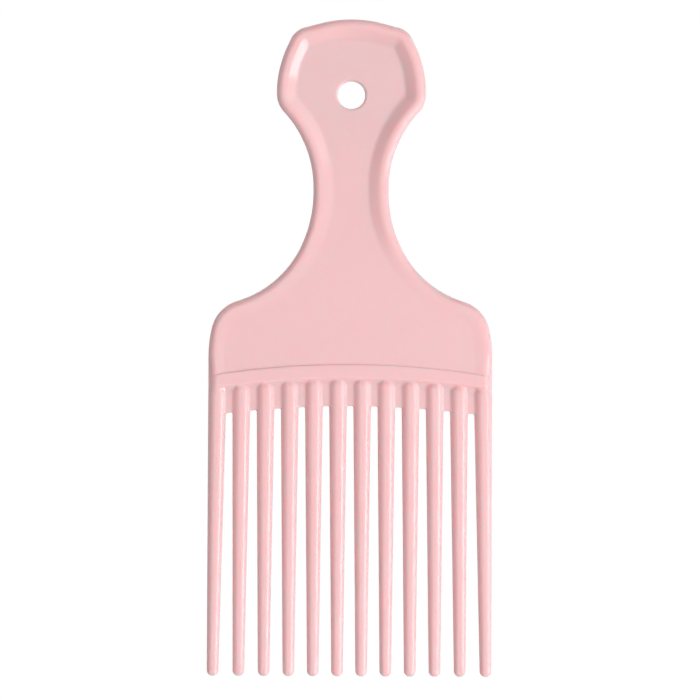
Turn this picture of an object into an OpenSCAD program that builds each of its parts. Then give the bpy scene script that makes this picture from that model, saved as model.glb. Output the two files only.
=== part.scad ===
// Hair pick in one glossy moulding: dished handle, arched rib and fanned round teeth.
// It lies on its back. +Z is up out of the front face and +Y runs to the crown of the head.
// The origin is on the underside, midway along the length and the width.
// The moulding is split where its form changes, and its pieces meet face to face.

/* [Body] */
// Length of the handle on the centre line, from the crown down to the rib
handle_l = 86.6; // [80:0.1:95]
// Width across the shoulders and across the outer teeth at their roots
body_w = 71.3; // [69:0.1:76]
// Thickness from face to face at the rib
thick = 5; // [4.8:0.1:6]

/* [Head] */
// Greatest width of the head, at its elbows
head_w = 37.5; // [35:0.1:42]
// Width between the corners of the head's top
top_w = 28.4; // [26:0.1:31]
// Radius of the crown, the shallow arch along the top
crown_r = 31; // [24:0.5:40]
// Fall of the top's edge from level at its corners, in degrees
crown_fall = 14.8; // [12:0.1:18]
// Radius of the rounded corners at the top
top_corner_r = 5.4; // [4:0.1:7]
// Radius of the bulging sides of the head
head_side_r = 32; // [20:0.5:40]
// Radius of the elbows, where the head turns in to the grip
elbow_r = 7.8; // [6:0.1:9]
// Diameter of the hanging hole
hole_d = 6.9; // [5:0.1:9]
// Depth of the hanging hole's centre below the crown
hole_drop = 19; // [16:0.1:21]

/* [Grip and shoulders] */
// Width of the waist
waist_w = 18.9; // [17:0.1:24]
// Radius of the hollow between the head and the waist
neck_r = 28; // [20:0.5:32]
// Radius of the flare below the waist
waist_r = 32; // [24:0.5:36]
// Width at the middle of the flare
flare_w = 34.2; // [31:0.1:38]
// Radius of the flare as it runs out into the shoulders
flare_r = 26; // [18:0.5:32]
// Distance of the shoulders' corners in from the sides
shoulder_inset = 1.95; // [1.7:0.05:3.1]
// Radius of the shoulders' corners
shoulder_r = 9.5; // [7:0.1:11]
// Radius that eases the shoulders into the straight sides
side_r = 34; // [20:0.5:45]

/* [Rim and panel] */
// Width of the raised rim round the head and the waist, to the foot of its inner slope
rim_w = 5.6; // [4.8:0.1:6.4]
// Width of the raised rim along the shoulders
shoulder_rim_w = 4.8; // [4.4:0.1:6]
// Radius of the rim's rounded edges, which leaves a straight band between them
rim_edge_r = 1.7; // [1.2:0.1:2]
// Depth of the panel below the rim, in the head
head_dish = 1.35; // [0.6:0.05:1.5]
// Depth of the panel below the rim, at the waist
waist_dish = 0.9; // [0.3:0.05:1.1]
// Depth of the panel below the rim, at the shoulders
shoulder_dish = 0.2; // [0.1:0.05:0.4]
// Least radius of the panel's own corners
panel_corner_r = 1.4; // [1:0.1:2.5]

/* [Rib and web] */
// Height of the rib on the centre line
rib_h = 3.4; // [2.8:0.1:4.5]
// Radius of the rib's top edge
rib_top_r = 216; // [180:1:300]
// Radius of the rib's bottom edge
rib_bottom_r = 254; // [230:1:320]
// How far the rib stands above the rim's crest, on each face
rib_proud = 0.15; // [0.05:0.05:0.3]
// Rounding of the rib's edges
rib_edge_r = 0.3; // [0.2:0.05:0.6]
// Thickness of the web between the roots of the teeth
web_t = 1.8; // [1.4:0.1:3]
// Height of the web on the centre line, from the rib to the ends of the slots
web_h = 7.1; // [5:0.1:10]
// Width of the strip at each side where the outer tooth's wall runs up to the rib
ear_w = 1.2; // [0.8:0.1:1.6]

/* [Teeth] */
// Least width of the slots between the roots, which sets how many teeth the body takes
slot_w = 1.3; // [0.8:0.1:2.8]
// Reach of the teeth below the rib, on the centre line
tooth_reach = 75; // [55:0.5:95]
// Diameter of a tooth at its root
tooth_root_d = 4.6; // [4:0.1:4.7]
// Diameter of a tooth at its tip
tooth_tip_d = 2.96; // [2.2:0.02:3.4]
// Outward lean of the outermost tooth, from its root to its tip
tooth_fan = 0.93; // [0:0.01:1.5]
// Rounding of the upper end of each root
root_corner_r = 1.3; // [0.8:0.1:1.9]
// Gap between the rib and the roots' upper ends
root_gap = 0.7; // [0.4:0.1:1.2]

/* [Hidden] */
// As many teeth as fit the body's width, spread evenly over it
teeth_n = 1 + floor((body_w - tooth_root_d) / (tooth_root_d + slot_w));
TOOTH_NAMES = [for (i = [1 : teeth_n]) str("tooth_", i < 10 ? "0" : "", i)];

PINK = [0.93, 0.76, 0.77];
cut_over = 1;

mid_z = thick / 2;
rim_half = mid_z - rib_proud;
overall_l = handle_l + rib_h + tooth_reach;
crown_y = overall_l / 2;
rib_top_y = crown_y - handle_l;
rib_bottom_y = rib_top_y - rib_h;
tip_y = -overall_l / 2;
hole_y = crown_y - hole_drop;

// Depths below the crown, as shares of the handle's length
head_side_share = 0.143;
elbow_share = 0.245;
neck_share = 0.365;
flare_share = 0.583;
flare_out_share = 0.773;
shoulder_share = 0.838;
side_share = 0.938;
dish_start_share = 0.27;
waist_share = 0.49;
dish_end_share = 0.78;
head_cut_share = 0.36;
grip_cut_share = 0.7;

// The rim's inner slope is straight, but for its rounded top and its rounded foot
slope_top_share = 0.13;
slope_foot_share = 0.2;
slope_shares = [1, 1 - slope_foot_share / 2, 1 - slope_foot_share, slope_top_share, slope_top_share / 2, 0];

// Steps along the outline's fillets, from the crown to the sides, and across the rim
outline_steps = [10, 6, 5, 6, 7, 7, 5, 6, 2];
slope_steps = len(slope_shares) - 1;
edge_steps = 4;
rail_n = 2 * (slope_steps + edge_steps + 1);

// The outline's corners on the right, before they are rounded
top_corner_drop = top_w / 2 * tan(crown_fall) - crown_r * (1 / cos(crown_fall) - 1);
apex_y = crown_y + crown_r * (1 / cos(crown_fall) - 1);
blank_end_y = arc_y(rib_top_r, rib_top_y, body_w / 2) - cut_over;
outline_corners = [
    [-top_w / 2, crown_y - top_corner_drop],
    [0, apex_y],
    [top_w / 2, crown_y - top_corner_drop],
    [head_w / 2, crown_y - head_side_share * handle_l],
    [head_w / 2, crown_y - elbow_share * handle_l],
    [waist_w / 2, crown_y - neck_share * handle_l],
    [waist_w / 2, crown_y - flare_share * handle_l],
    [flare_w / 2, crown_y - flare_out_share * handle_l],
    [body_w / 2 - shoulder_inset, crown_y - shoulder_share * handle_l],
    [body_w / 2, crown_y - side_share * handle_l],
    [body_w / 2, blank_end_y],
];
outline_radii = [
    0, crown_r, top_corner_r, head_side_r, elbow_r, neck_r, waist_r, flare_r, shoulder_r, side_r, 0
];

// Height of an arched edge at a distance x from the centre line
function arc_y(r, top, x) = top - r + sqrt(r * r - x * x);

function unit(v) = v / norm(v);
function right_of(v) = [v.y, -v.x];
function turned(v, a) = [v.x * cos(a) - v.y * sin(a), v.x * sin(a) + v.y * cos(a)];
function ease(a, b, share) = a + (b - a) * (1 - cos(180 * max(0, min(1, share)))) / 2;

// How far a height lies between the waist and the end of the dish, as a share
function below_waist(y) =
    ((crown_y - y) / handle_l - waist_share) / (dish_end_share - waist_share);
function rim_w_at(y) = ease(rim_w, shoulder_rim_w, below_waist(y));

// Turn of a path at its corner i, in degrees, positive to the left
function turn_at(path, i) =
    let (a = unit(path[i] - path[i - 1]), b = unit(path[i + 1] - path[i]))
    atan2(a.x * b.y - a.y * b.x, a * b);

// Length that a fillet takes from each side of corner i, if nothing limits it
function fillet_reach(path, radii, i) =
    i == 0 || i == len(path) - 1 ? 0 : radii[i] * abs(tan(turn_at(path, i) / 2));

// The fillet's radius, reduced where it would run into the next fillet
function fillet_r(path, radii, i) =
    let (
        here = fillet_reach(path, radii, i),
        before = norm(path[i] - path[i - 1]) / (fillet_reach(path, radii, i - 1) + here),
        after = norm(path[i + 1] - path[i]) / (fillet_reach(path, radii, i + 1) + here)
    )
    radii[i] * min(1, before, after);

// Points along the fillet of corner i, from step first to the last one
function fillet(path, radii, i, steps, first = 0) =
    let (
        r = fillet_r(path, radii, i),
        turn = turn_at(path, i),
        along = unit(path[i] - path[i - 1]),
        start = path[i] - along * r * abs(tan(turn / 2)),
        centre = start - sign(turn) * r * right_of(along)
    )
    [for (k = [first : steps]) centre + turned(start - centre, turn * k / steps)];

// The right half of a rounded path, from the centre line at the crown to its lower end
function half_path(path, radii) = concat(
    [for (i = [1 : len(path) - 2])
        for (p = fillet(path, radii, i, outline_steps[i - 1], i == 1 ? outline_steps[0] / 2 : 0)) p],
    [path[len(path) - 1]]
);

// The panel's edge: the same corners moved in by the rim's width
panel_corners = [
    for (i = [0 : len(outline_corners) - 1])
        let (
            c = outline_corners,
            before = right_of(unit(c[max(i, 1)] - c[max(i, 1) - 1])),
            after = right_of(unit(c[min(i + 1, len(c) - 1)] - c[min(i, len(c) - 2)]))
        )
        c[i] + rim_w_at(c[i].y) * (before + after) / (1 + before * after)
];
panel_radii = [
    for (i = [0 : len(outline_corners) - 1])
        let (w = rim_w_at(outline_corners[i].y))
        i == 0 || i == len(outline_corners) - 1 ? 0
        : turn_at(outline_corners, i) > 0 ? fillet_r(outline_corners, outline_radii, i) + w
        : max(fillet_r(outline_corners, outline_radii, i) - w, panel_corner_r)
];
outer_edge = half_path(outline_corners, outline_radii);
panel_edge = half_path(panel_corners, panel_radii);
station_n = len(outer_edge);

// Depth of the panel below the rim's crest at the height y
function dish(y) =
    let (share = (crown_y - y) / handle_l)
    share < waist_share
        ? ease(head_dish, waist_dish, (share - dish_start_share) / (waist_share - dish_start_share))
        : ease(waist_dish, shoulder_dish, below_waist(y));

// Share of the dish's depth reached at a share of the way down the rim's inner slope
function fall(share) =
    let (whole = 1 - (slope_top_share + slope_foot_share) / 2)
    share < slope_top_share ? share * share / slope_top_share / 2 / whole
    : share < 1 - slope_foot_share ? (share - slope_top_share / 2) / whole
    : 1 - (1 - share) * (1 - share) / slope_foot_share / 2 / whole;

// One rail's inset from the outer edge, on a rim of width w, and its height over the mid plane.
// Rail 0 lies along the front panel's edge, and the last one along the back panel's.
function rail_inset(step, w) =
    step <= slope_steps
        ? rim_edge_r + (w - rim_edge_r) * slope_shares[step]
        : rim_edge_r * (1 - sin(90 * (step - slope_steps) / edge_steps));
function rail_height(step, y) =
    step <= slope_steps
        ? rim_half - dish(y) * fall(slope_shares[step])
        : rim_half - rim_edge_r * (1 - cos(90 * (step - slope_steps) / edge_steps));
function rim_point(station, rail) =
    let (
        step = min(rail, rail_n - 1 - rail),
        side = rail == step ? 1 : -1,
        from = outer_edge[abs(station)],
        to = panel_edge[abs(station)],
        across = norm(to - from),
        flat = from + (to - from) * rail_inset(step, across) / across
    )
    [sign(station) * flat.x, flat.y, mid_z + side * rail_height(step, to.y)];

// The whole dished handle, with its rounded rim, down to a level end that the rib's arch cuts off
module handle_blank() {
    last = station_n - 1;
    rail_last = rail_n - 1;
    points = [for (s = [-last : last]) for (r = [0 : rail_last]) rim_point(s, r)];
    function at(s, r) = (s + last) * rail_n + r;
    rim = [
        for (s = [-last : last - 1])
            for (r = [0 : rail_last - 1])
                for (face = [
                    [at(s, r), at(s, r + 1), at(s + 1, r + 1)],
                    [at(s, r), at(s + 1, r + 1), at(s + 1, r)],
                ]) face
    ];
    crown_faces = [
        [at(0, 0), at(1, 0), at(-1, 0)],
        [at(-1, rail_last), at(1, rail_last), at(0, rail_last)],
    ];
    panel_faces = [
        for (s = [1 : last - 1])
            for (face = [
                [at(-s, 0), at(s, 0), at(s + 1, 0), at(-s - 1, 0)],
                [at(-s - 1, rail_last), at(s + 1, rail_last), at(s, rail_last), at(-s, rail_last)],
            ]) face
    ];
    end_sides = [
        for (r = [0 : rail_n / 2 - 2])
            for (face = [
                [at(last, r), at(last, r + 1), at(last, rail_last - 1 - r), at(last, rail_last - r)],
                [at(-last, rail_last - r), at(-last, rail_last - 1 - r), at(-last, r + 1), at(-last, r)],
            ]) face
    ];
    end_middle = [[at(-last, 0), at(last, 0), at(last, rail_last), at(-last, rail_last)]];
    polyhedron(
        points = points,
        faces = concat(rim, crown_faces, panel_faces, end_sides, end_middle),
        convexity = 8
    );
}

// The stretch of the handle between two depths below the crown
module handle_slice(from_drop, to_drop) {
    intersection() {
        handle_blank();
        translate([-body_w, crown_y - to_drop, -cut_over])
            cube([2 * body_w, to_drop - from_drop, thick + 2 * cut_over]);
    }
}

module head() {
    color(PINK)
        difference() {
            handle_slice(-cut_over, head_cut_share * handle_l);
            translate([0, hole_y, -cut_over])
                cylinder(d = hole_d, h = thick + 2 * cut_over, $fn = 96);
        }
}

module grip() {
    color(PINK)
        handle_slice(head_cut_share * handle_l, grip_cut_share * handle_l);
}

module shoulders() {
    color(PINK)
        difference() {
            handle_slice(grip_cut_share * handle_l, crown_y - blank_end_y + cut_over);
            translate([0, rib_top_y - rib_top_r, -cut_over])
                cylinder(r = rib_top_r, h = thick + 2 * cut_over, $fn = 720);
        }
}

// The rib's section along its length: a bar with full-round ends
module rib_bar() {
    reach = body_w / 2 - mid_z;
    turns = [for (k = [0 : 2 * edge_steps]) 90 - 90 * k / edge_steps];
    right = [for (a = turns) [reach, mid_z] + mid_z * [cos(a), sin(a)]];
    left = [for (a = turns) [-reach, mid_z] - mid_z * [cos(a), sin(a)]];
    bar_h = rib_top_y - blank_end_y + rib_h + cut_over;
    translate([0, rib_top_y + cut_over, 0])
        rotate([90, 0, 0])
            linear_extrude(height = bar_h + cut_over)
                polygon(concat(right, left));
}

// The rib is the bar between two arcs, with its long edges rounded
module arched_rib() {
    edge_turns = [for (k = [0 : 3]) 30 * k];
    low = [for (a = edge_turns) [sin(a), 1 - cos(a)] * rib_edge_r];
    top_side = concat(
        [for (p = low) [rib_top_r - rib_edge_r + p.x, p.y]],
        [for (k = [3 : -1 : 0]) [rib_top_r - rib_edge_r + low[k].x, thick - low[k].y]]
    );
    bottom_side = concat(
        [[rib_bottom_r + rib_edge_r, -cut_over]],
        [for (p = low) [rib_bottom_r + rib_edge_r - p.x, p.y]],
        [for (k = [3 : -1 : 0]) [rib_bottom_r + rib_edge_r - low[k].x, thick - low[k].y]],
        [[rib_bottom_r + rib_edge_r, thick + cut_over]]
    );
    color(PINK)
        difference() {
            intersection() {
                rib_bar();
                translate([0, rib_top_y - rib_top_r, 0])
                    rotate_extrude($fn = 720)
                        polygon(concat([[0, 0]], top_side, [[0, thick]]));
            }
            translate([0, rib_bottom_y - rib_bottom_r, 0])
                rotate_extrude($fn = 720)
                    polygon(concat([[0, -cut_over]], bottom_side, [[0, thick + cut_over]]));
        }
}

// Places of tooth i, counted from the left: its lean share runs from -1 to 1
root_r = tooth_root_d / 2;
tip_r = tooth_tip_d / 2;
root_span = body_w / 2 - root_r;
tip_centre_y = tip_y + tip_r;
function lean_share(i) = 2 * i / (teeth_n - 1) - 1;
function root_x(i) = lean_share(i) * root_span;
function root_y(i) = arc_y(rib_bottom_r, rib_bottom_y, root_x(i)) - root_gap;

// From the middle of a tooth's root end to the centre of its tip
function tooth_run(i) = [tooth_fan * pow(lean_share(i), 3), root_y(i) - tip_centre_y];

// Turns something along +Z onto the line of tooth i, from its root end down
module along_tooth(i) {
    translate([root_x(i), root_y(i), mid_z])
        rotate([0, 0, atan2(tooth_run(i).x, tooth_run(i).y)])
            rotate([90, 0, 0])
                children();
}

// One tooth as a turned solid: a root with a rounded end, a long even taper and a round tip
module tooth_solid(i) {
    turns = [for (k = [0 : 6]) 15 * k];
    corner = [for (a = turns) [root_r - root_corner_r * (1 - sin(a)), root_corner_r * (1 - cos(a))]];
    tip = [for (a = turns) [tip_r * cos(a), norm(tooth_run(i)) + tip_r * sin(a)]];
    along_tooth(i)
        rotate_extrude($fn = 48)
            polygon(concat([[0, 0]], corner, tip));
}

module tooth(i) {
    color(PINK)
        tooth_solid(i);
}

// The outer teeth's walls, carried up to the rib in a strip along each side
module ears() {
    intersection() {
        for (i = [0, teeth_n - 1])
            along_tooth(i)
                translate([0, 0, -root_gap - cut_over])
                    cylinder(r = root_r, h = root_gap + cut_over + root_corner_r, $fn = 48);
        for (side = [-1, 1])
            translate([side * (body_w - ear_w) - body_w / 2, tip_y, 0])
                cube([body_w, overall_l, thick]);
    }
}

// The web is a thin plate below the rib that carries the roots and closes the slots' upper ends
module root_web() {
    color(PINK)
        difference() {
            intersection() {
                translate([0, rib_bottom_y - rib_bottom_r, 0])
                    cylinder(r = rib_bottom_r, h = thick, $fn = 720);
                union() {
                    translate([-root_span, tip_y, mid_z - web_t / 2])
                        cube([2 * root_span, overall_l, web_t]);
                    translate([-body_w / 2 + ear_w / 2, root_y(0) - root_corner_r, mid_z - web_t / 2])
                        cube([body_w - ear_w, overall_l, web_t]);
                    ears();
                }
            }
            translate([0, rib_bottom_y - web_h - rib_bottom_r, 0])
                cylinder(r = rib_bottom_r, h = thick, $fn = 720);
            for (i = [0 : teeth_n - 1])
                tooth_solid(i);
        }
}

head();
grip();
shoulders();
arched_rib();
root_web();
for (i = [0 : teeth_n - 1])
    tooth(i);
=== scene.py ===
# Hair pick in glossy pale pink plastic, lying on its back under soft light from its right.
# The real thing is one injection moulding, so the handle, rib, web and teeth below are forms
# of a single skin, each with its own sizes, and the skin is drawn over them at the end.
import math

import bpy
import numpy as np
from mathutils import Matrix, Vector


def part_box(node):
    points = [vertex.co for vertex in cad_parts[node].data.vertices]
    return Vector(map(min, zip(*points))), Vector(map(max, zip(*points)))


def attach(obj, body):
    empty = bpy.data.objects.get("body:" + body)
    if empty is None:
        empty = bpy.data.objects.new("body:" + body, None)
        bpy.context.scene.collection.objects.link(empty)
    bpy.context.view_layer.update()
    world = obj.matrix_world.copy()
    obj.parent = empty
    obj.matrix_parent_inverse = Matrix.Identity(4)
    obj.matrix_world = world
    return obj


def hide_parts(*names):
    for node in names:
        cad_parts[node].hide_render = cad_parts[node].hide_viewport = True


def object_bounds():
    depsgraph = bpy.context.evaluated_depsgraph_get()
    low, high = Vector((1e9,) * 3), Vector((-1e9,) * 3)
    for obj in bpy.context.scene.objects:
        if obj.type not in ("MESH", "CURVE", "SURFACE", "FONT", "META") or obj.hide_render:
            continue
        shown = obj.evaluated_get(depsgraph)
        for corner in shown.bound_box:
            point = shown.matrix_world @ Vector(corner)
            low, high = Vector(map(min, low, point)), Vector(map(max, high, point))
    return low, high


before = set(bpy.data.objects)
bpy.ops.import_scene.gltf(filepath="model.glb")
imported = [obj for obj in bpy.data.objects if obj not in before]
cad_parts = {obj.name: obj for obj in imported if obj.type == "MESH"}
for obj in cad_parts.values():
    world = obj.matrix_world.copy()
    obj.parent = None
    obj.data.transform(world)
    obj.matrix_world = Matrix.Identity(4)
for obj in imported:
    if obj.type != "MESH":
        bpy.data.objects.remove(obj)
cad_low, cad_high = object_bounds()


# The studio camera: it looks straight down on the pick with a long lens.
# It is turned by a quarter of a degree, as the pick lies a little askew in its picture.
MM = 0.001
camera_height_mm = 750
picture_width_mm = 175.9
aim_x_mm = -0.08
aim_y_mm = -0.49
camera_roll_deg = 0.24

mid_z_mm = (cad_low.z + cad_high.z) / 2 / MM
camera_data = bpy.data.cameras.new("studio_camera")
camera_data.sensor_width = 36
camera_data.lens = camera_data.sensor_width * camera_height_mm / picture_width_mm
camera_data.clip_start = 0.01
camera = bpy.data.objects.new("studio_camera", camera_data)
camera.location = (aim_x_mm * MM, aim_y_mm * MM, (mid_z_mm + camera_height_mm) * MM)
camera.rotation_euler = (0, 0, math.radians(camera_roll_deg))
bpy.context.scene.collection.objects.link(camera)
bpy.context.scene.camera = camera
bpy.context.scene.view_settings.view_transform = "Standard"


# The handle: a dished plate of pink styrene plastic, from the crown of its hexagonal head through the
# waist to the wide shoulders. Both halves of the mould press a panel into it, which leaves a rim with
# rounded edges all the way round. Forms are in millimetres, with z counted from the parting plane.
crown_y = cad_high.y / MM
half_thick = mid_z_mm
handle_l = 86.6
body_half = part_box("arched_rib")[1].x / MM
crown_r = 31
crown_fall_deg = 14.8
rim_edge_r = 1.7
rim_end_r = 2.3
rim_end_run = 6
crest_inset = 1.45
crest_drop = 0.15
head_rim_w = 5.8
shoulder_rim_w = 4.8
rim_narrowing_share = 0.3
head_dish = 1.5
waist_dish = 1.0
shoulder_dish = 0.2
dish_shares = (0.27, 0.49, 0.78)
slope_ramp_share = 0.40
slope_runout_share = 0.33

# Half width, depth below the crown as a share of the handle's length, and rounding of each corner.
# The first corner has no depth of its own, because it lies on the crown's falling edge.
handle_corners = [
    (14.2, None, 5.4),
    (18.75, 0.143, 32),
    (18.75, 0.245, 7.8),
    (9.45, 0.365, 28),
    (9.45, 0.583, 32),
    (17.1, 0.773, 26),
    (body_half - 1.95, 0.838, 9.5),
    (body_half, 0.938, 34),
]


def rounded_outline():
    """The right half of the handle's outline, crown to rib, as (corner point, rounding radius)."""
    fall = math.radians(crown_fall_deg)
    apex_y = crown_y + crown_r * (1 / math.cos(fall) - 1)
    path = [((0, apex_y), crown_r)]
    for half_w, share, radius in handle_corners:
        y = apex_y - half_w * math.tan(fall) if share is None else crown_y - share * handle_l
        path.append(((half_w, y), radius))
    top_half_w = handle_corners[0][0]
    top_left = (-top_half_w, apex_y - top_half_w * math.tan(fall))
    side_x, side_y = path[-1][0]
    below_rib = (side_x, side_y - handle_l)
    corners = [np.array(c, float) for c in [top_left, *(corner for corner, _ in path), below_rib]]
    radii = [0, *(radius for _, radius in path), 0]
    return corners, radii


def outline_pieces():
    """The outline's straight and round stretches. A round one has centre, radius, side, ray in, ray out."""
    corners, radii = rounded_outline()
    steps = [b - a for a, b in zip(corners, corners[1:])]
    lengths = [np.linalg.norm(s) for s in steps]
    ways = [s / n for s, n in zip(steps, lengths)]
    turns = [0] + [
        math.atan2(a[0] * b[1] - a[1] * b[0], a @ b) for a, b in zip(ways, ways[1:])
    ] + [0]
    reach = [r * abs(math.tan(t / 2)) for r, t in zip(radii, turns)]
    pieces, start = [], None
    for i in range(1, len(corners) - 1):
        room = min(1, lengths[i - 1] / (reach[i - 1] + reach[i]), lengths[i] / (reach[i] + reach[i + 1]))
        radius, back, side = radii[i] * room, reach[i] * room, math.copysign(1, turns[i])
        begin, end = corners[i] - ways[i - 1] * back, corners[i] + ways[i] * back
        centre = begin + side * radius * np.array([-ways[i - 1][1], ways[i - 1][0]])
        if start is not None:
            pieces.append(("straight", start, begin))
        pieces.append(("round", centre, radius, side, begin - centre, end - centre))
        start = end
    pieces.append(("straight", start, corners[-1]))
    return pieces


handle_outline = outline_pieces()
shortest_mm = 1e-9


def inset_from_outline(x, y):
    """Distance in from the handle's outline, negative outside it."""
    x = np.abs(x)
    nearest, inset = np.full(x.shape, np.inf), np.zeros(x.shape)
    for kind, *piece in handle_outline:
        if kind == "straight":
            a, b = piece
            length = np.linalg.norm(b - a)
            way = (b - a) / max(length, shortest_mm)
            along = np.clip((x - a[0]) * way[0] + (y - a[1]) * way[1], 0, length)
            off_x, off_y = x - a[0] - along * way[0], y - a[1] - along * way[1]
            gap = np.hypot(off_x, off_y)
            signed = np.where(off_x * way[1] - off_y * way[0] >= 0, gap, -gap)
        else:
            centre, radius, side, ray_in, ray_out = piece
            ray_x, ray_y = x - centre[0], y - centre[1]
            after = side * (ray_in[0] * ray_y - ray_in[1] * ray_x) >= 0
            before = side * (ray_x * ray_out[1] - ray_y * ray_out[0]) >= 0
            facing = ray_x * (ray_in + ray_out)[0] + ray_y * (ray_in + ray_out)[1] > 0
            signed = side * (np.hypot(ray_x, ray_y) - radius)
            gap = np.where(after & before & facing, np.abs(signed), np.inf)
        closer = gap < nearest
        nearest = np.where(closer, gap, nearest)
        inset = np.where(closer, signed, inset)
    return inset


def eased(share):
    return (1 - np.cos(np.pi * np.clip(share, 0, 1))) / 2


def dish_depth(y):
    """Depth of the panel below the rim's crest, which fades from the head to the shoulders."""
    start, waist, end = dish_shares
    share = (crown_y - y) / handle_l
    upper = eased((share - start) / (waist - start))
    lower = eased((share - waist) / (end - waist))
    return head_dish + (waist_dish - head_dish) * upper + (shoulder_dish - waist_dish) * lower


def slope_fall(share):
    """Share of the dish's depth reached across the rim's inner slope, steep and even in its middle."""
    share = np.clip(share, 0, 1)
    ramp, runout = slope_ramp_share, slope_runout_share

    def gathered(t, width):
        return t / 2 - width / (2 * np.pi) * np.sin(np.pi * t / width)

    rise = gathered(np.minimum(share, ramp), ramp)
    level = np.clip(share - ramp, 0, 1 - ramp - runout)
    left = np.minimum(1 - share, runout)
    fade = gathered(runout, runout) - gathered(left, runout)
    whole = ramp / 2 + (1 - ramp - runout) + runout / 2
    return (rise + level + fade) / whole


def rounded_both(a, b, r):
    """What lies in both forms, with the edge where they meet rounded by r."""
    return np.minimum(np.maximum(a, b), -r) + np.hypot(np.maximum(a + r, 0), np.maximum(b + r, 0))


def rim_and_panel(x, y, z):
    """The handle's form without its lower end: below 0 inside, and near a true distance outside."""
    inset = inset_from_outline(x, y)
    share = (crown_y - y) / handle_l
    narrowed = eased((share - dish_shares[1]) / rim_narrowing_share)
    rim_w = head_rim_w + (shoulder_rim_w - head_rim_w) * narrowed
    crest = half_thick - crest_drop
    height = crest - dish_depth(y) * slope_fall((inset - crest_inset) / (rim_w - crest_inset))
    near_rib = eased(1 - (y - rib_top(x)) / rim_end_run)
    edge_r = rim_edge_r + (rim_end_r - rim_edge_r) * near_rib
    return rounded_both(np.abs(z) - height, -inset, edge_r)


# The hanging hole: a pin in the mould leaves it open through the head's panel, and the edges on both
# faces are rounded, where the pin's shoulders meet the plastic.
hole_drop = 19
hole_y = crown_y - hole_drop
hole_r = 3.45
hole_edge_r = 0.65


def handle_form(x, y, z):
    """The rim and the panel with the hole through them. The lower end is hidden inside the rib."""
    handle = rim_and_panel(x, y, z)
    out_of_hole = hole_r - np.hypot(x, y - hole_y)
    handle = rounded_both(handle, out_of_hole, hole_edge_r)
    return np.maximum(handle, rib_low(x) + rib_h / 2 - y)


# The arched rib: the bar that stiffens the pick across its whole width, a little prouder than the rim.
# It is moulded between two arcs, with its long edges broken and its ends fully round.
rib_h = 3.4
rib_top_y = crown_y - handle_l
rib_top_r = 216
rib_low_y = rib_top_y - rib_h
rib_low_r = 254
rib_edge_r = 0.3
rib_foot_r = 0.05
rib_end_r = 2.5


def sag(x, r):
    return r - np.sqrt(r * r - x * x)


def rib_top(x):
    return rib_top_y - sag(x, rib_top_r)


def rib_low(x):
    return rib_low_y - sag(x, rib_low_r)


def rib_form(x, y, z):
    overhang = np.maximum(np.abs(x) - (body_half - rib_end_r), 0)
    bar = np.hypot(overhang * half_thick / rib_end_r, z) - half_thick
    between = np.maximum(y - rib_top(x), rib_low(x) - y)
    return rounded_both(bar, between, rib_edge_r)


# The teeth: twelve pins, one shot with the handle, that taper evenly to ball tips and fan out a little.
# They are round but for a narrow flat on each of four sides, and start under the rib with a rounded end.
teeth_n = 12
tooth_root_r = 2.3
tooth_tip_r = 1.48
tooth_corner_r = 1.3
tooth_flat_share = 0.12
tooth_fan = 0.93
root_gap = 0.7
tip_y = cad_low.y / MM
root_span = body_half - tooth_root_r
tooth_pitch = 2 * root_span / (teeth_n - 1)
tip_centre_y = tip_y + tooth_tip_r


def tooth_line(i):
    """Middle of the root end, sideways lean and length of tooth i, counted from the left."""
    side = 2 * i / (teeth_n - 1) - 1
    root_x, lean = side * root_span, tooth_fan * side**3
    root_y = rib_low(root_x) - root_gap
    return root_x, root_y, lean, np.hypot(lean, root_y - tip_centre_y)


def tooth_radius(down, length):
    taper = np.clip((down - tooth_corner_r) / (length - tooth_corner_r), 0, 1)
    return tooth_root_r + (tooth_tip_r - tooth_root_r) * taper


def tooth_form_at(i, x, y, z):
    """The form of tooth i. i may differ from point to point."""
    root_x, root_y, lean, length = tooth_line(i)
    way_x, way_y = lean / length, (tip_centre_y - root_y) / length
    down = (x - root_x) * way_x + (y - root_y) * way_y
    off = (x - root_x) * way_y - (y - root_y) * way_x
    radius = tooth_radius(down, length)
    flat = tooth_flat_share * radius
    around = flat + np.hypot(np.maximum(np.abs(off) - flat, 0), np.maximum(np.abs(z) - flat, 0))
    shank = rounded_both(around - radius, -down, tooth_corner_r)
    ball = np.hypot(around, down - length) - tooth_tip_r
    return np.where(down > length, ball, shank)


def teeth_form(x, y, z):
    left = np.clip(np.floor((x + root_span) / tooth_pitch), 0, teeth_n - 2)
    return np.minimum(tooth_form_at(left, x, y, z), tooth_form_at(left + 1, x, y, z))


# The root web: the thin wall below the rib that carries the roots of the teeth and closes the slots
# between them. Small fillets run round it and a wide one joins it to the rib. At each side it ends in
# an ear, where the outer tooth's wall runs up to the rib.
web_half = 1.35
web_h = 7.1
web_edge_r = 0.4
web_fillet_r = 0.35
web_rib_fillet_r = 1.7
web_side_inset = 0.6
ear_low_y = rib_low(root_span) - root_gap - tooth_corner_r


def web_form(x, y, z):
    slab = np.abs(z) - web_half
    between = np.maximum(y - rib_low(x) - rib_h / 2, rib_low(x) - web_h - y)
    side = np.abs(x) - np.where(y > ear_low_y, body_half - web_side_inset, root_span)
    return rounded_both(rounded_both(slab, between, web_edge_r), side, web_edge_r)


def ear_form(x, y, z):
    wall = np.hypot(np.abs(x) - root_span, z) - tooth_root_r
    between = np.maximum(y - rib_low(root_span) - rib_h / 2, ear_low_y - y)
    return np.maximum(wall, between)


# The moulding: all those forms in one continuous skin, as the plastic fills the mould. It stands for
# every CAD node, because the real pick has no joint between them, and is skinned cell by cell.
least_fillet_share = 0.01


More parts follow.
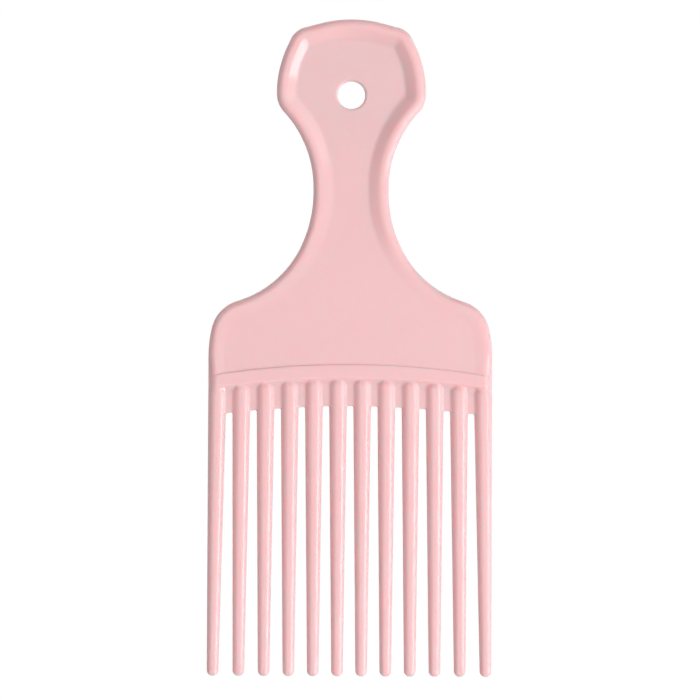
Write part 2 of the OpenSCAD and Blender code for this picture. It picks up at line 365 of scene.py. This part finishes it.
def rounded_either(a, b, r):
    """What lies in either form, with the corner where they meet filled by a fillet of radius r."""
    return np.maximum(np.minimum(a, b), r) - np.hypot(np.maximum(r - a, 0), np.maximum(r - b, 0))


def moulding_form(x, y, z):
    """The whole pick. The fillet under the rib fades over the outer teeth, and stays below its faces."""
    teeth = np.minimum(teeth_form(x, y, z), ear_form(x, y, z))
    lower = rounded_either(teeth, web_form(x, y, z), web_fillet_r)
    upper = rounded_either(handle_form(x, y, z), rib_form(x, y, z), rib_foot_r)
    from_outer_tooth = (root_span - np.abs(x)) / tooth_root_r
    fillet_r = web_rib_fillet_r * np.clip(from_outer_tooth, least_fillet_share, 1)
    return np.maximum(rounded_either(upper, lower, fillet_r), np.abs(z) - half_thick)


cells_per_tooth = 12
cells_per_slot = 3
cells_through = 16
through_half = 2.8
margin = 0.5
web_low_y = rib_low_y - web_h

# The rows of cells bend into the rib's arcs below one height, and out of them again below another
bend_in_y, bend_in_run = rib_top_y + 14, 13
bend_out_y, bend_out_run = web_low_y - 1, 10

# From where, down to where, and in what steps the rows of cells run down the middle of the pick
row_zones = [
    (crown_y + margin, crown_y - 9, 0.36),
    (crown_y - 9, hole_y + 5, 0.5),
    (hole_y + 5, hole_y - 5, 0.4),
    (hole_y - 5, rib_top_y + 0.6, 0.5),
    (rib_top_y + 0.6, rib_top_y - 0.8, 0.14),
    (rib_top_y - 0.8, rib_low_y + 0.8, 0.4),
    (rib_low_y + 0.8, rib_low_y - 2.6, 0.17),
    (rib_low_y - 2.6, web_low_y + 0.7, 0.5),
    (web_low_y + 0.7, web_low_y - 0.6, 0.16),
    (web_low_y - 0.6, tip_y + 4, 3),
    (tip_y + 4, tip_y - margin, 0.3),
]


def lines_down():
    lines = []
    for top, low, step in row_zones:
        n = max(1, round((top - low) / step))
        lines.extend(top - (top - low) * k / n for k in range(n))
    return np.array([*lines, row_zones[-1][1]])


def lines_across():
    """Each line of cells down the pick: two teeth, a share of the radius of each, and their blend."""
    edge = 1 + 1 / cells_per_tooth
    lines = [(0, -edge - margin / tooth_root_r, 0, 0, 0)]
    for i in range(teeth_n):
        lines.extend((i, share, i, share, 0) for share in np.linspace(-edge, edge, cells_per_tooth + 1))
        if i < teeth_n - 1:
            lines.extend((i, edge, i + 1, -edge, k / cells_per_slot) for k in range(1, cells_per_slot))
    lines.append((teeth_n - 1, edge + margin / tooth_root_r, 0, 0, 0))
    return [column[:, None] for column in np.array(lines).T]


def across_at(y):
    """Place of each line across, and the radius of its tooth, at heights y."""

    def beside(i, share):
        root_x, root_y, lean, length = tooth_line(i)
        down = np.clip(root_y - y, 0, root_y - tip_centre_y)
        radius = tooth_radius(down, length)
        return root_x + lean * down / (root_y - tip_centre_y) + share * radius, radius

    a, share_a, b, share_b, blend = lines_across()
    (x_a, radius_a), (x_b, radius_b) = beside(a, share_a), beside(b, share_b)
    return x_a + (x_b - x_a) * blend, radius_a + (radius_b - radius_a) * blend


def cell_corners():
    """Corners of the cells. Their rows bend with the rib's arcs, and their lines follow the teeth."""
    row = lines_down()[None, :]
    bent = eased((bend_in_y - row) / bend_in_run) * (1 - eased((bend_out_y - row) / bend_out_run))
    lower = np.clip((rib_top_y - row) / rib_h, 0, 1)
    inside = np.clip(across_at(crown_y)[0], -body_half, body_half)
    y = row - bent * (sag(inside, rib_top_r) * (1 - lower) + sag(inside, rib_low_r) * lower)
    x, radius = across_at(y)
    depth = np.linspace(-through_half, through_half, cells_through + 1)
    z = depth[None, None, :] * (radius / tooth_root_r)[:, :, None]
    x, y = (np.broadcast_to(flat[:, :, None], z.shape) for flat in (x, y))
    return np.stack([x, y, z], -1)


def slope_of(form, p, reach=0.01):
    """The direction in which the form grows at each point, by small steps each way."""
    slopes = []
    for axis in range(3):
        step = np.zeros(3)
        step[axis] = reach
        ahead, behind = p + step, p - step
        slopes.append((form(*ahead.T) - form(*behind.T)) / (2 * reach))
    return np.stack(slopes, -1)


pull_passes = 3
longest_pull = 0.2
least_slope = 0.5


def skin_over(form, corners):
    """Points, quads and outward directions of the form's surface, one point in each cell it crosses."""
    value = form(corners[..., 0], corners[..., 1], corners[..., 2])
    inside = value < 0
    sizes = [n - 1 for n in value.shape]
    offsets = [(a, b, c) for a in (0, 1) for b in (0, 1) for c in (0, 1)]

    def cell_view(grid, offset):
        return grid[tuple(slice(o, o + n) for o, n in zip(offset, sizes))]

    count = sum(cell_view(inside, o).astype(int) for o in offsets)
    crossed = np.argwhere((count > 0) & (count < len(offsets)))
    number = np.full(sizes, -1)
    number[tuple(crossed.T)] = np.arange(len(crossed))
    total, hits = np.zeros((len(crossed), 3)), np.zeros(len(crossed))
    for a in offsets:
        for axis in range(3):
            if a[axis]:
                continue
            b = tuple(v + (k == axis) for k, v in enumerate(a))
            at_a, at_b = tuple((crossed + a).T), tuple((crossed + b).T)
            va, vb = value[at_a], value[at_b]
            cut = (va < 0) != (vb < 0)
            share = np.where(cut, va / np.where(cut, va - vb, 1), 0)[:, None]
            total += np.where(cut[:, None], corners[at_a] * (1 - share) + corners[at_b] * share, 0)
            hits += cut
    points = total / hits[:, None]

    quads = []
    for axis in range(3):
        u, v = (axis + 1) % 3, (axis + 2) % 3
        here = [slice(None)] * 3
        there = [slice(None)] * 3
        here[axis], there[axis] = slice(0, -1), slice(1, None)
        first, second = inside[tuple(here)], inside[tuple(there)]
        edge = np.argwhere(first != second)
        edge = edge[(edge[:, [u, v]] > 0).all(1) & (edge[:, [u, v]] < [sizes[u], sizes[v]]).all(1)]
        outward = first[tuple(edge.T)]
        ring = []
        for du, dv in ((-1, -1), (0, -1), (0, 0), (-1, 0)):
            cell = edge.copy()
            cell[:, u] += du
            cell[:, v] += dv
            ring.append(number[tuple(cell.T)])
        ring = np.stack(ring, -1)
        quads.append(np.where(outward[:, None], ring[:, ::-1], ring))
    quads = np.concatenate(quads)

    for _ in range(pull_passes):
        slope = slope_of(form, points)
        step = form(*points.T) / np.maximum((slope**2).sum(-1), least_slope**2)
        points -= np.clip(step, -longest_pull, longest_pull)[:, None] * slope
    outward = slope_of(form, points)
    outward /= np.linalg.norm(outward, axis=1, keepdims=True)
    return points, quads, outward


def moulding_mesh():
    points, quads, outward = skin_over(moulding_form, cell_corners())
    points = points + np.array([0, 0, mid_z_mm])
    mesh = bpy.data.meshes.new("pick_moulding")
    mesh.from_pydata((points * MM).tolist(), [], quads.tolist())
    mesh.shade_smooth()
    mesh.normals_split_custom_set_from_vertices(outward.tolist())
    mesh.validate(verbose=False)
    return mesh


deeper_pink = (0.863, 0.562, 0.572)
paler_pink = (0.873, 0.572, 0.582)
glossiest = 0.055
least_glossy = 0.070


def pink_plastic():
    """Glossy pale pink styrene: a milky body that light soaks into, under a hard polished surface."""
    material = bpy.data.materials.new("pink_plastic")
    material.use_nodes = True
    nodes, links = material.node_tree.nodes, material.node_tree.links
    shader = nodes["Principled BSDF"]
    shader.inputs["Subsurface Weight"].default_value = 1
    shader.inputs["Subsurface Radius"].default_value = (1.7, 0.20, 0.19)
    shader.inputs["Subsurface Scale"].default_value = 0.0015
    shader.inputs["IOR"].default_value = 1.5
    place = nodes.new("ShaderNodeTexCoord")

    def noise(scale, detail):
        texture = nodes.new("ShaderNodeTexNoise")
        texture.inputs["Scale"].default_value = scale
        texture.inputs["Detail"].default_value = detail
        links.new(place.outputs["Object"], texture.inputs["Vector"])
        return texture.outputs["Fac"]

    def ramp(fac, low, high):
        blend = nodes.new("ShaderNodeValToRGB")
        for end, position, value in zip(blend.color_ramp.elements, (0.3, 0.7), (low, high)):
            end.position = position
            end.color = (*value, 1)
        links.new(fac, blend.inputs["Fac"])
        return blend.outputs["Color"]

    pigment = ramp(noise(scale=60, detail=4), deeper_pink, paler_pink)
    links.new(pigment, shader.inputs["Base Color"])
    polish = ramp(noise(scale=300, detail=6), [glossiest] * 3, [least_glossy] * 3)
    links.new(polish, shader.inputs["Roughness"])
    return material


moulding = bpy.data.objects.new("pick_moulding", moulding_mesh())
moulding.data.materials.append(pink_plastic())
bpy.context.scene.collection.objects.link(moulding)
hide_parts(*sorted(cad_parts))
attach(moulding, "root")


# The studio: a white paper sweep under the pick, and a tall softbox low on its right. A weaker fill on
# its upper right, a ceiling light and white walls all round soften the shadows.
sweep_half_m = 3
sweep_gap_m = 0.00005
sweep_grey = 0.1
sweep_glow = 1.11
sweep_glow_share = 0.9
wall_strength = 0.48
lamp_distance_m = 1.5


def white_sweep():
    """Paper under the pick: grey to the light it throws back, white to the camera and in reflections."""
    mesh = bpy.data.meshes.new("studio_floor")
    corners = [(x * sweep_half_m, y * sweep_half_m, 0) for x, y in ((-1, -1), (1, -1), (1, 1), (-1, 1))]
    mesh.from_pydata(corners, [], [(0, 1, 2, 3)])
    sweep = bpy.data.objects.new("studio_floor", mesh)
    sweep.location.z = cad_low.z - sweep_gap_m
    bpy.context.scene.collection.objects.link(sweep)
    material = bpy.data.materials.new("white_sweep")
    material.use_nodes = True
    nodes, links = material.node_tree.nodes, material.node_tree.links
    nodes.clear()
    paper = nodes.new("ShaderNodeBsdfDiffuse")
    paper.inputs["Color"].default_value = (sweep_grey, sweep_grey, sweep_grey, 1)
    glow = nodes.new("ShaderNodeEmission")
    glow.inputs["Strength"].default_value = sweep_glow
    path = nodes.new("ShaderNodeLightPath")
    seen = nodes.new("ShaderNodeMath")
    seen.operation = "MAXIMUM"
    links.new(path.outputs["Is Camera Ray"], seen.inputs[0])
    links.new(path.outputs["Is Glossy Ray"], seen.inputs[1])
    share = nodes.new("ShaderNodeMath")
    share.operation = "MULTIPLY"
    share.inputs[1].default_value = sweep_glow_share
    links.new(seen.outputs[0], share.inputs[0])
    both = nodes.new("ShaderNodeMixShader")
    links.new(share.outputs[0], both.inputs["Fac"])
    links.new(paper.outputs[0], both.inputs[1])
    links.new(glow.outputs[0], both.inputs[2])
    links.new(both.outputs[0], nodes.new("ShaderNodeOutputMaterial").inputs["Surface"])
    mesh.materials.append(material)


def white_walls():
    """A white room that lights the pick evenly. Its backdrop is pure white to the camera."""
    world = bpy.data.worlds.new("white_walls")
    bpy.context.scene.world = world
    world.use_nodes = True
    nodes, links = world.node_tree.nodes, world.node_tree.links
    wall = nodes["Background"]
    wall.inputs["Color"].default_value = (1, 1, 1, 1)
    wall.inputs["Strength"].default_value = wall_strength
    backdrop = nodes.new("ShaderNodeBackground")
    backdrop.inputs["Color"].default_value = (1, 1, 1, 1)
    path = nodes.new("ShaderNodeLightPath")
    both = nodes.new("ShaderNodeMixShader")
    links.new(path.outputs["Is Camera Ray"], both.inputs["Fac"])
    links.new(wall.outputs[0], both.inputs[1])
    links.new(backdrop.outputs[0], both.inputs[2])
    links.new(both.outputs[0], nodes["World Output"].inputs["Surface"])


def studio_lamp(name, zenith_deg, azimuth_deg, size_m, power_w):
    """An area lamp aimed at the pick, at an angle from overhead and a bearing from +X."""
    zenith, azimuth = math.radians(zenith_deg), math.radians(azimuth_deg)
    data = bpy.data.lights.new(name, "AREA")
    data.shape = "RECTANGLE"
    data.size, data.size_y = size_m
    data.energy = power_w
    lamp = bpy.data.objects.new(name, data)
    lamp.rotation_euler = (0, zenith, azimuth)
    lamp.location = (
        lamp_distance_m * math.sin(zenith) * math.cos(azimuth),
        lamp_distance_m * math.sin(zenith) * math.sin(azimuth),
        lamp_distance_m * math.cos(zenith),
    )
    lamp.visible_camera = False
    bpy.context.scene.collection.objects.link(lamp)


white_sweep()
white_walls()
studio_lamp("softbox", zenith_deg=57, azimuth_deg=-30, size_m=(0.75, 1.33), power_w=17.5)
studio_lamp("side_fill", zenith_deg=50, azimuth_deg=50, size_m=(0.53, 2.0), power_w=3.9)
studio_lamp("ceiling", zenith_deg=0, azimuth_deg=0, size_m=(1.0, 1.0), power_w=2.5)
